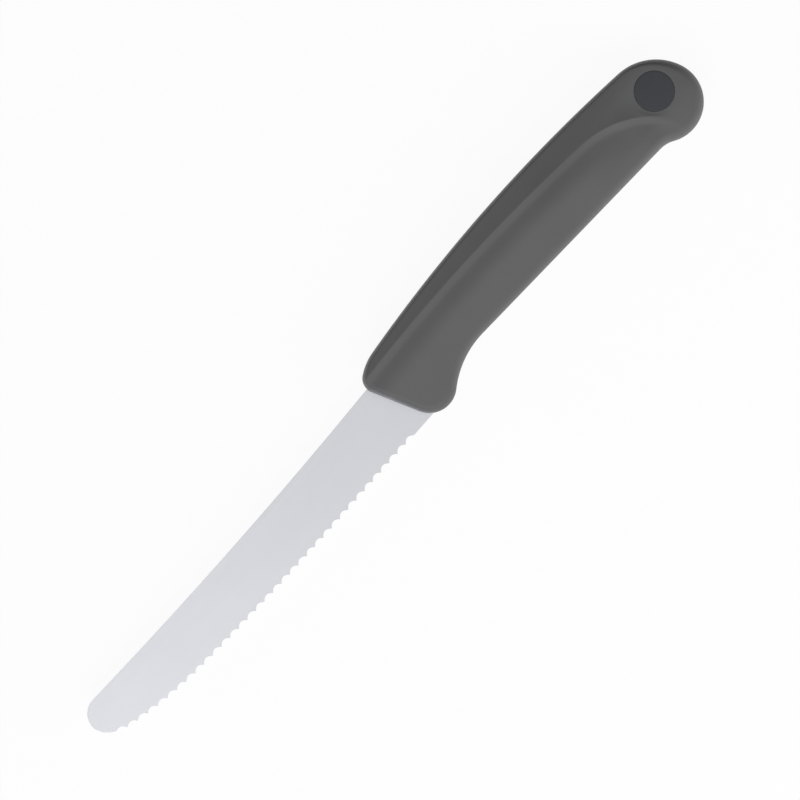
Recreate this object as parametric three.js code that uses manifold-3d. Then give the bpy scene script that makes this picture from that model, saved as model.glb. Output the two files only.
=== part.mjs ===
// A breakfast knife: a scalloped steel blade, a two-shot moulded handle and a round inlay.
// Millimetres. The knife lies on its side: +X runs from tip to butt, +Y to the spine, +Z up.
// It is drawn about the point where the blade's middle line meets the handle's front face.

import * as THREE from 'three';
import { LoftGeometry } from 'three/addons/geometries/LoftGeometry.js';
import { mergeVertices } from 'three/addons/utils/BufferGeometryUtils.js';
import Module from 'manifold-3d';

const degree = Math.PI / 180;

// Blade
const bladeLength = 110.57; // tip to the handle's front, on the middle line
const bladeSpineHeight = 8.43; // at the handle, above the middle line
const bladeEdgeDepth = 8.06; // at the handle, below the middle line
const bladeThickness = 1.2;
const spineHollowRadius = 1350; // the spine is a faintly hollow arc
const tipRadius = 4.91;
const tipRise = 3.43; // the tip's centre above the middle line
const edgeStraight = 30.6; // straight part of the edge, ahead of the handle
const edgeRadius = 891; // long curve of the edge
const edgeSweepRadius = 66.6; // tighter curve up to the tip
const shoulderDepth = 6; // full-height steel behind the handle's front face
const heelCornerRadius = 3;
const spineCornerRadius = 1.5;

// Scallops, ground from one side only
const scallopPitch = 3.08;
const scallopDepth = 0.88;
const toothLand = 0.1; // blunt width left on each tooth
const grindHeight = 2.5; // height of the ground flutes on the ground side
const heelPlain = 3.5; // unground edge ahead of the handle
const scallopEndAngle = 246 * degree; // where the last scallop stops round the tip

// Tang, inside the handle
const tangLength = 72;
const tangHeight = 8; // at its root
const tangEndHeight = 6;
const tangRise = 3.6; // its middle above the blade's middle line
const tangHoleDiameter = 4;
const tangHoleFirst = 27;
const tangHolePitch = 28;

// Handle outline
const handleLength = 109.59; // front face to butt, on the middle line
const frontLean = 19.7 * degree;
const frontCornerRadius = 3.77;
const frontCornerHeight = 8.12; // the corner's centre above the middle line
const shoulderRadius = 15; // curve from the corner into the spine
const spineFrontHeight = 12.84;
const spineButtHeight = 13.02;
const spineBow = 2.89; // rise of the spine above its two ends
const buttRadius = 10.12;
const buttRise = 0.31; // the butt's centre above the middle line
const buttFlare = 3.93; // how much larger the curve from the butt into the spine is
const notchRadius = 7.32; // hollow ahead of the butt
const underDepth = 2.91; // lower edge below the middle line, carried on to the front
const underSlope = 2.58 * degree;
const guardRadius = 6.79;
const guardDepth = 9.58; // lowest point of the finger guard
const guardHollowRadius = 23.8;

// Handle sides
const halfThickness = 6.75; // middle plane to the facet where the handle is thickest
const thickestAt = 60;
const sideCrownRadius = 1200;
const facetSlope = 0.18; // fall of the facet from the crease to the spine
const bellyStart = 3.2; // the side bends into the belly this far below the crease
const bellyWidth = 5.4;
const bellySlope = 0.26;
const bellyFrontSlope = 0.18;
const bellyGrowth = 30; // from the front to the full slope
const buttBlendAhead = 50; // the side starts to turn into the butt's dome this far ahead of it
const buttBlendLength = 36;
const domeRadius = 19;
const domeSpineShare = 0.95; // the dome is flatter towards the spine

// Rounded border of the sides, seen from the side
const spineRim = 1.1;
const buttRim = 3.4;
const lowerRim = 2.2;
const frontRim = 1.7;
const rimPower = 3; // 2 is a plain ellipse, more eases it into the side

// Crease along the sides
const creaseCrestAt = 28;
const creaseCrestHeight = 10.98;
const creaseRadius = 480;
const creaseTurnAhead = 31.75; // the crease turns down this far ahead of the butt
const creaseTurnRadius = 27;
const ridgeHeight = 0.33; // the crease stands proud of the facet by this
const ridgeReach = 3; // of the hollow rise to it
const lipSlope = 0.15; // fall below the crease
const valleySlope = 0.11; // rise that follows the lip
const turnRidgeHeight = 0.95; // the same four where the crease turns down
const turnRidgeReach = 4.5;
const turnLipSlope = 0.3;
const turnValleySlope = -0.03;
const turnBlendAhead = 38;
const turnBlendLength = 20;
const lipEnd = 1.1;
const lipFade = 1.5;
const ridgeFadeAhead = 21.5; // the ridge starts to fade this far ahead of the butt
const ridgeFadeLength = 10.5;
const lipFadeAhead = 17; // and then its lip
const lipFadeLength = 6.5;

// Grip wall and inlay
const gripWall = 2.5;
const seatGap = 0.3; // between pieces moulded or pressed together
const discDiameter = 10.1;
const discThickness = 1.2;
const discChamfer = 0.2;
const discCrown = 0.12; // rise of its face from the rim to the middle
const discFromButt = 9.81;
const discRise = 3.73;
const landMargin = 0.4; // flat land round the inlay
const landBlend = 1.4;

// Fineness of the faceted surfaces
const outlineTolerance = 0.015;
const fineTolerance = 0.0015; // for the tooth line and the first rib
const leastRadius = 0.15; // kept by a round corner that is moved in
const ribSpacing = 2.2; // mean, wider in the middle than at the round ends
const coreRibSpacing = 5;
const ribEvenness = 0.35; // 1 spaces the ribs evenly
const ribTurnLength = 30; // ribs turn upright over this length behind the front face
const rimSteps = [0, 25, 50, 70, 90].map((angle) => 1 - Math.cos(angle * degree));
const facetSteps = [0.4, 0.75];
const bellySteps = [0.2, 0.42, 0.68];
const crownSteps = [1, 0.75, 0.5, 0];
const creaseLeast = 0.15; // least and most share of a rib that lies above its crease point
const creaseMost = 0.7;
const topRimMost = 0.7; // most that a rim takes of the facet and of the belly
const bottomRimMost = 0.3;
const lipMost = 0.1; // most that one millimetre of the lip takes of the belly
const roundSegments = 48;
const fluteSegments = 40;
const flutePasses = 4; // length of a grinding path, in slanted passes through the sheet
const weldTolerance = 1e-4;

const wasm = await Module();
wasm.setup();

const vector = (x, y) => new THREE.Vector2(x, y);
const towards = (angle) => vector(Math.cos(angle), Math.sin(angle));

// Point at given distances from two others, to the left of the way from the first to the second.
function apex(first, firstDistance, second, secondDistance) {
  const span = second.clone().sub(first);
  const length = span.length();
  const along = (length ** 2 + firstDistance ** 2 - secondDistance ** 2) / (2 * length);
  const across = Math.sqrt(firstDistance ** 2 - along ** 2);
  const unit = span.divideScalar(length);
  return vector(-unit.y, unit.x).multiplyScalar(across).addScaledVector(unit, along).add(first);
}

// Point on a line at a given distance from a centre: the far one of the two, or the near one.
function alongLine(start, angle, centre, distance, far) {
  const unit = towards(angle);
  const offset = start.clone().sub(centre);
  const middle = -offset.dot(unit);
  const half = Math.sqrt(distance ** 2 - offset.lengthSq() + middle ** 2);
  return start.clone().addScaledVector(unit, far ? middle + half : middle - half);
}

// Closed run of tangent arcs, counter-clockwise. A hollow arc has a negative radius. An arc with
// a leave angle is followed by a straight line with that outward normal.
function arcChain(circles) {
  const joins = circles.map((circle, i) => {
    const next = circles[(i + 1) % circles.length];
    const away = next.centre.clone().sub(circle.centre);
    return circle.leave ?? away.divideScalar(circle.radius - next.radius).angle();
  });
  return circles.map(({ centre, radius }, i) => {
    const from = joins.at(i - 1);
    const turn = Math.sign(radius) * (joins[i] - from);
    const sweep = THREE.MathUtils.euclideanModulo(turn, 2 * Math.PI) * Math.sign(radius);
    return { centre, radius, from, sweep };
  });
}

// Points along a chain of arcs, moved in by an inset. A round corner keeps some radius.
function trace(arcs, inset, tolerance) {
  const points = [];
  for (const { centre, radius, from, sweep } of arcs) {
    const reach = radius > 0 ? Math.max(radius - inset, leastRadius) : radius - inset;
    const chord = 2 * Math.acos(1 - tolerance / Math.abs(reach));
    const steps = Math.ceil(Math.abs(sweep) / chord);
    for (let i = 0; i <= steps; i++) {
      const point = towards(from + (sweep * i) / steps).multiplyScalar(reach).add(centre);
      const last = points.at(-1);
      if (!last || last.distanceTo(point) > weldTolerance) points.push(point);
    }
  }
  if (points.at(-1).distanceTo(points[0]) < weldTolerance) points.pop();
  return points;
}

// A closed three.js geometry as a solid that can be cut and joined.
function solid(geometry) {
  const bare = new THREE.BufferGeometry().copy(geometry);
  bare.deleteAttribute('normal');
  bare.deleteAttribute('uv');
  const welded = mergeVertices(bare, weldTolerance);
  const corners = welded.index.array;
  const triangles = [];
  for (let i = 0; i < corners.length; i += 3) {
    const [a, b, c] = corners.slice(i, i + 3);
    if (a !== b && b !== c && c !== a) triangles.push(a, b, c);
  }
  const vertProperties = Float32Array.from(welded.attributes.position.array);
  const triVerts = Uint32Array.from(triangles);
  return new wasm.Manifold(new wasm.Mesh({ numProp: 3, vertProperties, triVerts }));
}

function plate(points, thickness) {
  const geometry = new THREE.ExtrudeGeometry(new THREE.Shape(points), {
    depth: thickness,
    bevelEnabled: false,
  });
  return solid(geometry.translate(0, 0, -thickness / 2));
}

function rod(x, y, z, radius, length) {
  const geometry = new THREE.CylinderGeometry(radius, radius, length, roundSegments);
  return solid(geometry.rotateX(Math.PI / 2).translate(x, y, z));
}

function piece(name, shape, material) {
  const { vertProperties, triVerts } = shape.getMesh();
  const geometry = new THREE.BufferGeometry();
  geometry.setAttribute('position', new THREE.BufferAttribute(vertProperties, 3));
  geometry.setIndex(new THREE.BufferAttribute(triVerts, 1));
  geometry.computeVertexNormals();
  const mesh = new THREE.Mesh(geometry, material);
  mesh.name = name;
  return mesh;
}

// Blade outline: round the tip, along the edge, up the hidden shoulder and back along the spine.
function makeBladeArcs() {
  const tip = { centre: vector(tipRadius - bladeLength, tipRise), radius: tipRadius };
  const long = { centre: vector(-edgeStraight, edgeRadius - bladeEdgeDepth), radius: edgeRadius };
  long.leave = -Math.PI / 2;
  const sweep = { radius: edgeSweepRadius };
  const sweepToTip = edgeSweepRadius - tipRadius;
  sweep.centre = apex(long.centre, edgeRadius - edgeSweepRadius, tip.centre, sweepToTip);
  const heelY = heelCornerRadius - bladeEdgeDepth;
  const heelReach = shoulderDepth - heelCornerRadius - heelY * Math.sin(frontLean);
  const heel = { centre: vector(heelReach / Math.cos(frontLean), heelY), radius: heelCornerRadius };
  heel.leave = frontLean;
  const spine = { radius: -spineHollowRadius };
  const spineToTip = spineHollowRadius + tipRadius;
  const spineAtHandle = vector(0, bladeSpineHeight);
  spine.centre = apex(tip.centre, spineToTip, spineAtHandle, spineHollowRadius);
  const corner = { radius: spineCornerRadius };
  const shoulder = towards(frontLean).multiplyScalar(shoulderDepth - spineCornerRadius);
  const spineToCorner = spineHollowRadius + spineCornerRadius;
  corner.centre = alongLine(shoulder, frontLean + Math.PI / 2, spine.centre, spineToCorner, false);
  return arcChain([tip, sweep, long, heel, corner, spine]);
}

// Tang outline: a tapered bar with round ends, its root buried in the blade.
function makeTangArcs() {
  const root = { centre: vector(0, tangRise), radius: tangHeight / 2 };
  const endRadius = tangEndHeight / 2;
  const end = { centre: vector(tangLength - endRadius, tangRise), radius: endRadius };
  const taper = Math.asin((root.radius - endRadius) / root.centre.distanceTo(end.centre));
  root.leave = taper - Math.PI / 2;
  end.leave = Math.PI / 2 - taper;
  return arcChain([root, end]);
}

// Handle outline: guard, hollow, straight lower edge, notch, butt, spine and front corner.
function makeHandleArcs() {
  const frontNormal = Math.PI + frontLean;
  const underNormal = -Math.PI / 2 - underSlope;
  const guard = { radius: guardRadius };
  const guardY = guardRadius - guardDepth;
  guard.centre = vector((guardRadius - guardY * Math.sin(frontLean)) / Math.cos(frontLean), guardY);
  const underLine = (depth) => vector(0, -underDepth).addScaledVector(towards(underNormal), depth);
  const hollow = { radius: -guardHollowRadius, leave: underNormal };
  const hollowToGuard = guardHollowRadius + guardRadius;
  const hollowLine = underLine(guardHollowRadius);
  hollow.centre = alongLine(hollowLine, -underSlope, guard.centre, hollowToGuard, true);
  const butt = { centre: vector(handleLength - buttRadius, buttRise), radius: buttRadius };
  const notch = { radius: -notchRadius };
  const notchLine = underLine(notchRadius);
  notch.centre = alongLine(notchLine, -underSlope, butt.centre, notchRadius + buttRadius, false);
  const corner = { radius: frontCornerRadius, leave: frontNormal };
  const cornerReach = frontCornerRadius - frontCornerHeight * Math.sin(frontLean);
  corner.centre = vector(cornerReach / Math.cos(frontLean), frontCornerHeight);
  const spineFront = vector(corner.centre.x, spineFrontHeight);
  const spineButt = vector(butt.centre.x, spineButtHeight);
  const spine = { radius: spineFront.distanceTo(spineButt) ** 2 / (8 * spineBow) + spineBow / 2 };
  spine.centre = apex(spineButt, spine.radius, spineFront, spine.radius);
  const buttTop = { radius: buttRadius + buttFlare };
  buttTop.centre = apex(spine.centre, spine.radius - buttTop.radius, butt.centre, buttFlare);
  const shoulder = { radius: shoulderRadius };
  const shoulderToCorner = shoulderRadius - frontCornerRadius;
  const shoulderToSpine = spine.radius - shoulderRadius;
  shoulder.centre = apex(corner.centre, shoulderToCorner, spine.centre, shoulderToSpine);
  return arcChain([guard, hollow, notch, butt, buttTop, spine, shoulder, corner]);
}

const bladeArcs = makeBladeArcs();
const tangArcs = makeTangArcs();
const handleArcs = makeHandleArcs();
const discCentre = vector(handleLength - discFromButt, discRise);

// The crease is a long arc that turns down ahead of the butt in a tighter, tangent one.
const creaseLong = vector(creaseCrestAt, creaseCrestHeight - creaseRadius);
const creaseTurnSine = (handleLength - creaseTurnAhead - creaseCrestAt) / creaseRadius;
const creaseTurnNormal = towards(Math.PI / 2 - Math.asin(creaseTurnSine));
const creaseTurn = creaseLong
  .clone()
  .addScaledVector(creaseTurnNormal, creaseRadius - creaseTurnRadius);

// Distance below the crease, negative above it.
function belowCrease(point) {
  const offset = point.clone().sub(creaseTurn);
  const pastTurn = offset.x * creaseTurnNormal.y - offset.y * creaseTurnNormal.x > 0;
  if (pastTurn) return creaseTurnRadius - offset.length();
  return creaseRadius - point.distanceTo(creaseLong);
}

// Share that grows over a length of the handle, from a place ahead of the butt.
function sinceAhead(point, ahead, length) {
  const start = handleLength - ahead;
  return THREE.MathUtils.smoothstep(point.x, start, start + length);
}

// Flat up to a start, then bending over a width into a slope of 1.
function bend(distance, start, width) {
  const share = THREE.MathUtils.clamp((distance - start) / width, 0, 1);
  return width * (share ** 3 - share ** 4 / 2) + Math.max(distance - start - width, 0);
}

function lengthwise(x) {
  return halfThickness - (x - thickestAt) ** 2 / (2 * sideCrownRadius);
}

const landRadius = discDiameter / 2 + landMargin;
const landHeight = lengthwise(discCentre.x);

// Half thickness of the handle without its crease: facet and belly, which turn into a domed butt.
function broadSide(point) {
  const below = belowCrease(point);
  const grown = THREE.MathUtils.smoothstep(point.x, 0, bellyGrowth);
  const belly = THREE.MathUtils.lerp(bellyFrontSlope, bellySlope, grown);
  const facetFall = facetSlope * Math.max(-below, 0);
  const side = lengthwise(point.x) - facetFall - belly * bend(below, bellyStart, bellyWidth);
  const { x, y } = point.clone().sub(discCentre);
  const across = y > 0 ? y * domeSpineShare : y;
  const beyond = Math.max(Math.hypot(Math.max(x, 0), across) - landRadius, 0);
  const dome = landHeight - beyond ** 2 / (2 * domeRadius);
  return THREE.MathUtils.lerp(side, dome, sinceAhead(point, buttBlendAhead, buttBlendLength));
}

// Hollow rise to the crease, its lip and the valley under it, fading towards the butt.
function creaseRelief(point) {
  const below = belowCrease(point);
  const turning = sinceAhead(point, turnBlendAhead, turnBlendLength);
  const ridgeShown = 1 - sinceAhead(point, ridgeFadeAhead, ridgeFadeLength);
  const ridge = ridgeShown * THREE.MathUtils.lerp(ridgeHeight, turnRidgeHeight, turning);
  if (below < 0) {
    const reach = THREE.MathUtils.lerp(ridgeReach, turnRidgeReach, turning);
    return ridge * Math.exp(below / reach);
  }
  const lipShown = 1 - sinceAhead(point, lipFadeAhead, lipFadeLength);
  const lip = lipShown * THREE.MathUtils.lerp(lipSlope, turnLipSlope, turning);
  const valley = lipShown * THREE.MathUtils.lerp(valleySlope, turnValleySlope, turning);
  const fall = lip * below - (lip + valley) * bend(below, lipEnd, lipFade);
  return ridge - fall - valley * bend(below, bellyStart, bellyWidth);
}

// A flat land round the inlay blends into the side.
function sideHeight(point) {
  const distance = point.distanceTo(discCentre);
  const leave = THREE.MathUtils.smoothstep(distance, landRadius, landRadius + landBlend);
  return THREE.MathUtils.lerp(landHeight, broadSide(point) + creaseRelief(point), leave);
}

// Width of the rounded border where it faces a given way.
function rimWidth({ x, y }) {
  const level = x > 0 ? buttRim : frontRim;
  const upright = y > 0 ? spineRim : lowerRim;
  return (level * x ** 2 + upright * y ** 2) / (x ** 2 + y ** 2);
}

// Share of the full thickness at a point, which falls to nothing over the rounded border.
function rounding(point, outline) {
  const nearest = new THREE.Vector2();
  const outward = new THREE.Vector2(Infinity, 0);
  outline.forEach((start, i) => {
    const along = outline[(i + 1) % outline.length].clone().sub(start);
    const share = point.clone().sub(start).dot(along) / along.lengthSq();
    nearest.copy(start).addScaledVector(along, THREE.MathUtils.clamp(share, 0, 1)).sub(point);
    if (nearest.lengthSq() < outward.lengthSq()) outward.copy(nearest);
  });
  const depth = Math.min(outward.length() / rimWidth(outward), 1);
  return Math.sqrt(1 - (1 - depth) ** rimPower);
}

// The spine and lower ends of a rib, with the rims there: a line across the handle through a
// point of its middle line.
function ribEnds(x, lean, outline) {
  const origin = vector(x, 0);
  const unit = vector(-Math.sin(lean), Math.cos(lean));
  const ends = [];
  outline.forEach((start, i) => {
    const a = start.clone().sub(origin);
    const b = outline[(i + 1) % outline.length].clone().sub(origin);
    const rim = rimWidth(vector(b.y - a.y, a.x - b.x));
    const sideA = a.cross(unit);
    const sideB = b.cross(unit);
    if (sideA > 0 === sideB > 0) return;
    const height = a.lerp(b, sideA / (sideA - sideB)).dot(unit);
    ends.push({ height, point: origin.clone().addScaledVector(unit, height), rim });
  });
  ends.sort((one, other) => other.height - one.height);
  return [ends[0], ends.at(-1)];
}

// Points down one rib, crowded into the rounded rims and the lip, with one on the crease.
function ribPoints(top, bottom) {
  const length = top.height - bottom.height;
  const at = (distance) => top.point.clone().lerp(bottom.point, distance / length);
  let above = 0;
  let below = length;
  while (below - above > weldTolerance) {
    const middle = (above + below) / 2;
    if (belowCrease(at(middle)) < 0) above = middle;
    else below = middle;
  }
  const crease = THREE.MathUtils.clamp(above, creaseLeast * length, creaseMost * length);
  const topRim = Math.min(top.rim, topRimMost * crease);
  const rest = length - crease;
  const bottomRim = Math.min(bottom.rim, bottomRimMost * rest);
  const lip = Math.min(1, lipMost * rest);
  const lipSteps = [lipEnd, lipEnd + lipFade / 2, lipEnd + lipFade];
  const bellyTop = crease + lip * lipSteps.at(-1);
  const bellyBottom = length - bottomRim;
  return [
    ...rimSteps.map((step) => at(step * topRim)),
    ...facetSteps.map((step) => at(THREE.MathUtils.lerp(topRim, crease, step))),
    at(crease),
    ...lipSteps.map((step) => at(crease + lip * step)),
    ...bellySteps.map((step) => at(THREE.MathUtils.lerp(bellyTop, bellyBottom, step))),
    ...rimSteps.map((step) => at(length - step * bottomRim)).reverse(),
  ];
}

// The handle's form, moved in by an inset: a loft of ribs from the front face to the butt.
function handleForm(inset, spacing) {
  const outline = trace(handleArcs, inset, outlineTolerance);
  const frontStep = 1 / Math.cos(frontLean);
  const front = inset * frontStep;
  const butt = outline.reduce((far, point) => (point.x > far.x ? point : far));
  const first = front + frontRim * frontStep;
  const last = butt.x - buttRim;
  const spans = Math.ceil((last - first) / spacing);
  const places = rimSteps.map((step) => THREE.MathUtils.lerp(front, first, step));
  for (let i = 1; i < spans; i++) {
    const crowded = (1 - Math.cos((Math.PI * i) / spans)) / 2;
    const share = THREE.MathUtils.lerp(crowded, i / spans, ribEvenness);
    places.push(THREE.MathUtils.lerp(first, last, share));
  }
  places.push(...rimSteps.slice(1).map((step) => butt.x - step * buttRim).reverse());
  const sections = places.map((x, i) => {
    const lean = frontLean * (1 - THREE.MathUtils.smoothstep(x, first, ribTurnLength));
    const [top, bottom] = ribEnds(i ? x : x + fineTolerance, lean, outline);
    const upper = ribPoints(top, bottom).map((point, k, all) => {
      const onOutline = i === 0 || k === 0 || k === all.length - 1;
      const share = onOutline ? 0 : rounding(point, outline);
      return new THREE.Vector3(point.x, point.y, (sideHeight(point) - inset) * share);
    });
    const lower = upper.slice(1, -1).map(({ x, y, z }) => new THREE.Vector3(x, y, -z));
    return [...upper, ...lower.reverse()];
  });
  sections.push(sections[0].map(() => new THREE.Vector3(butt.x, butt.y, 0)));
  return solid(new LoftGeometry(sections));
}

// The unground sheet with its tang, grown by a clearance where it is to be cut out of the handle.
function bladeBlank(clearance) {
  const thickness = bladeThickness + 2 * clearance;
  let blank = plate(trace(bladeArcs, -clearance, outlineTolerance), thickness);
  blank = blank.add(plate(trace(tangArcs, -clearance, outlineTolerance), thickness));
  const holeRadius = tangHoleDiameter / 2 - clearance;
  for (const x of [tangHoleFirst, tangHoleFirst + tangHolePitch]) {
    blank = blank.subtract(rod(x, tangRise, 0, holeRadius, 2 * thickness));
  }
  return blank;
}

// Line of the tooth points, from the plain heel to the end of the scallops at the tip.
function toothLine() {
  const [tip, sweep, long] = bladeArcs;
  const tipEnd = { ...tip, from: scallopEndAngle, sweep: tip.from + tip.sweep - scallopEndAngle };
  const points = trace([tipEnd, sweep, long], 0, fineTolerance);
  points.push(vector(-heelPlain, -bladeEdgeDepth));
  return new THREE.Path().setFromPoints(points.reverse());
}

// A round grinding path that meets the plain face on the edge and leaves a flute on the other.
function scallopCutter(point, outward) {
  const slope = Math.atan2(bladeThickness, grindHeight);
  const sag = scallopDepth * Math.sin(slope);
  const radius = ((scallopPitch - toothLand) ** 2 / 4 + sag ** 2) / (2 * sag);
  const length = (flutePasses * bladeThickness) / Math.sin(slope);
  const up = new THREE.Vector3(0, 0, 1);
  const out = new THREE.Vector3(outward.x, outward.y, 0);
  const axis = out.clone().multiplyScalar(Math.cos(slope)).addScaledVector(up, Math.sin(slope));
  const away = out.clone().multiplyScalar(Math.sin(slope)).addScaledVector(up, -Math.cos(slope));
  const side = new THREE.Vector3().crossVectors(axis, away);
  const place = new THREE.Vector3(point.x, point.y, bladeThickness / 2)
    .addScaledVector(out, -scallopDepth)
    .addScaledVector(away, radius)
    .addScaledVector(axis, -bladeThickness / 2 / Math.sin(slope));
  const matrix = new THREE.Matrix4().makeBasis(side, axis, away).setPosition(place);
  const geometry = new THREE.CylinderGeometry(radius, radius, length, fluteSegments);
  return solid(geometry.applyMatrix4(matrix));
}

function makeBlade() {
  const line = toothLine();
  const length = line.getLength();
  const count = Math.round(length / scallopPitch);
  let blade = bladeBlank(0);
  for (let i = 0; i < count; i++) {
    const share = (i + 0.5) / count;
    const { x, y } = line.getTangentAt(share);
    blade = blade.subtract(scallopCutter(line.getPointAt(share), vector(-y, x)));
  }
  return blade;
}

function makeCore() {
  return handleForm(gripWall + seatGap, coreRibSpacing).subtract(bladeBlank(seatGap));
}

function makeGrip() {
  const pocketDepth = discThickness + seatGap;
  const pocketRadius = discDiameter / 2 + seatGap;
  const pocket = rod(discCentre.x, discCentre.y, landHeight, pocketRadius, 2 * pocketDepth);
  return handleForm(0, ribSpacing)
    .subtract(handleForm(gripWall, coreRibSpacing))
    .subtract(bladeBlank(seatGap))
    .subtract(pocket);
}

function makeDisc() {
  const radius = discDiameter / 2;
  const faceRadius = radius - discChamfer;
  const profile = [
    vector(0, 0),
    vector(radius, 0),
    vector(radius, discThickness - discChamfer),
    ...crownSteps.map((step) => vector(faceRadius * step, discThickness + discCrown * (1 - step ** 2))),
  ];
  const geometry = new THREE.LatheGeometry(profile, roundSegments).rotateX(Math.PI / 2);
  return solid(geometry.translate(discCentre.x, discCentre.y, landHeight - discThickness));
}

const steel = new THREE.MeshStandardMaterial({ color: 0xd6d7db, metalness: 1, roughness: 0.35 });
const grey = new THREE.MeshStandardMaterial({ color: 0x616163, metalness: 0, roughness: 0.6 });
const dark = new THREE.MeshStandardMaterial({ color: 0x3c3d3f, metalness: 0, roughness: 0.7 });
const slate = new THREE.MeshStandardMaterial({ color: 0x4b4d50, metalness: 0, roughness: 0.5 });

const knife = new THREE.Group();
knife.add(
  piece('blade', makeBlade(), steel),
  piece('handle_core', makeCore(), dark),
  piece('handle_grip', makeGrip(), grey),
  piece('end_disc', makeDisc(), slate),
);

// The finished knife stands with its box's bottom centre on the origin.
const box = new THREE.Box3().setFromObject(knife);
const middle = box.getCenter(new THREE.Vector3());
knife.position.set(-middle.x, -middle.y, -box.min.z);

export default knife;
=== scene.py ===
import cmath
import math

import bmesh
import bpy
import numpy as np
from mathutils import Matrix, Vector


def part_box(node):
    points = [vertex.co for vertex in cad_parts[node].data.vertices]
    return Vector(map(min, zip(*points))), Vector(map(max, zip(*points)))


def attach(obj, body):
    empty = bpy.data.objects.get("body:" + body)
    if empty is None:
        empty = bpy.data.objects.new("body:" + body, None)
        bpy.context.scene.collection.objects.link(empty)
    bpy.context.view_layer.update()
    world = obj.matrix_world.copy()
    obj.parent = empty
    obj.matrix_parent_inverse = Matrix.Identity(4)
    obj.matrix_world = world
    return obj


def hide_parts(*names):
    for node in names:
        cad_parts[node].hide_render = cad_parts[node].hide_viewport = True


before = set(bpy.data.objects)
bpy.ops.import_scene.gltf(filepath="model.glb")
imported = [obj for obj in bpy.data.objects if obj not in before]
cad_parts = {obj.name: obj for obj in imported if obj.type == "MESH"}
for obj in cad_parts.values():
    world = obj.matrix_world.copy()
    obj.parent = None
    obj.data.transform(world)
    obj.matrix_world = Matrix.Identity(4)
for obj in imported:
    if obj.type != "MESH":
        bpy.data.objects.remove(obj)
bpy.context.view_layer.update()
print("frame loaded:", ", ".join(sorted(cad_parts)))

mm = 0.001
fitWithin = 0.02  # mm, keeps the round outlines inside the CAD's flats
fullTurn = 2 * math.pi
quarterTurn = math.pi / 2

# Flat drawing: points are complex numbers in mm, x from tip to butt, y towards the spine,
# about the point where the blade's middle line meets the handle's front face.
arcStep = 0.02  # between an outline's points
arcLeast = 3  # points on the shortest arc


def towards(degrees):
    return cmath.rect(1, math.radians(degrees))


# point at given distances from two others, left of the way from the first to the second
def apex(first, firstDistance, second, secondDistance):
    span = second - first
    along = (abs(span) ** 2 + firstDistance**2 - secondDistance**2) / (2 * abs(span))
    across = math.sqrt(firstDistance**2 - along**2)
    return first + complex(along, across) * span / abs(span)


# point on a line at a given distance from a centre, the far one of the two or the near one
def alongLine(start, unit, centre, distance, far):
    offset = (start - centre) * unit.conjugate()
    half = math.sqrt(distance**2 - offset.imag**2)
    return start + unit * ((half if far else -half) - offset.real)


# centre of a circle that touches two lines from outside, each given by a point and its normal
def insideCorner(firstLine, secondLine, radius):
    lines = (firstLine, secondLine)
    rows = [[normal.real, normal.imag] for point, normal in lines]
    reach = [(point * normal.conjugate()).real + radius for point, normal in lines]
    return complex(*np.linalg.solve(rows, reach))


# A hollow arc has a negative radius, and an arc with a leave angle is followed by a straight line
# with that outward normal.
def arc(centre, radius, leave=None):
    return {"centre": centre, "radius": radius, "leave": leave}


# closed run of tangent arcs by name, counter-clockwise
class Outline:
    def __init__(self, arcs, inset=0.0, step=arcStep):
        self.names = list(arcs)
        circles = list(arcs.values())
        joins = []
        for here, after in zip(circles, circles[1:] + circles[:1]):
            if here["leave"] is None:
                span = (after["centre"] - here["centre"]) / (here["radius"] - after["radius"])
                joins.append(cmath.phase(span))
            else:
                joins.append(math.radians(here["leave"]))
        points, normals, owners = [], [], []
        for i, circle in enumerate(circles):
            turn = math.copysign(1, circle["radius"])
            sweep = turn * (turn * (joins[i] - joins[i - 1]) % fullTurn)
            reach = circle["radius"] - inset
            angles = joins[i - 1] + np.linspace(0, sweep, arcLeast + int(abs(sweep * reach) / step))
            points.append(circle["centre"] + reach * np.exp(1j * angles))
            normals.append(angles)
            owners.append(np.full(len(angles), i))
        self.points = np.concatenate(points + [points[0][:1]])
        self.normals = np.unwrap(np.concatenate(normals + [normals[0][:1]]))
        self.owners = np.concatenate(owners + [[-1]])
        self.places = np.concatenate([[0], np.cumsum(np.abs(np.diff(self.points)))])
        self.length = self.places[-1]

    # place along the outline where one of its arcs has a given outward normal
    def placeOf(self, name, degrees):
        mine = self.owners == self.names.index(name)
        angles, places = self.normals[mine], self.places[mine]
        angle = math.radians(degrees)
        angle += fullTurn * round((angles.mean() - angle) / fullTurn)
        order = np.argsort(angles)
        return np.interp(angle, angles[order], places[order])

    # points and outward normals at given places
    def at(self, places):
        places = np.asarray(places) % self.length
        x = np.interp(places, self.places, self.points.real)
        y = np.interp(places, self.places, self.points.imag)
        return x + 1j * y, np.exp(1j * np.interp(places, self.places, self.normals))


handleShape = {
    "length": 109.59,  # front face to butt, on the middle line
    "frontLean": 19.7,  # degrees
    "cornerRadius": 3.77,  # at the top of the front face
    "cornerHeight": 8.12,
    "shoulderRadius": 15.0,  # between that corner and the spine
    "spineFront": 12.84,  # heights of the spine's ends above the middle line
    "spineButt": 13.02,
    "spineBow": 2.89,
    "buttRadius": 10.12,
    "buttRise": 0.31,
    "buttFlare": 3.93,  # the butt's top has this much more radius
    "notchRadius": 7.32,  # between the lower edge and the butt
    "underDepth": 2.91,  # lower edge below the middle line, carried on to the front
    "underSlope": 2.58,  # degrees
    "guardRadius": 6.79,
    "guardDepth": 9.58,
    "hollowRadius": 23.8,  # between the guard and the lower edge
}


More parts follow.
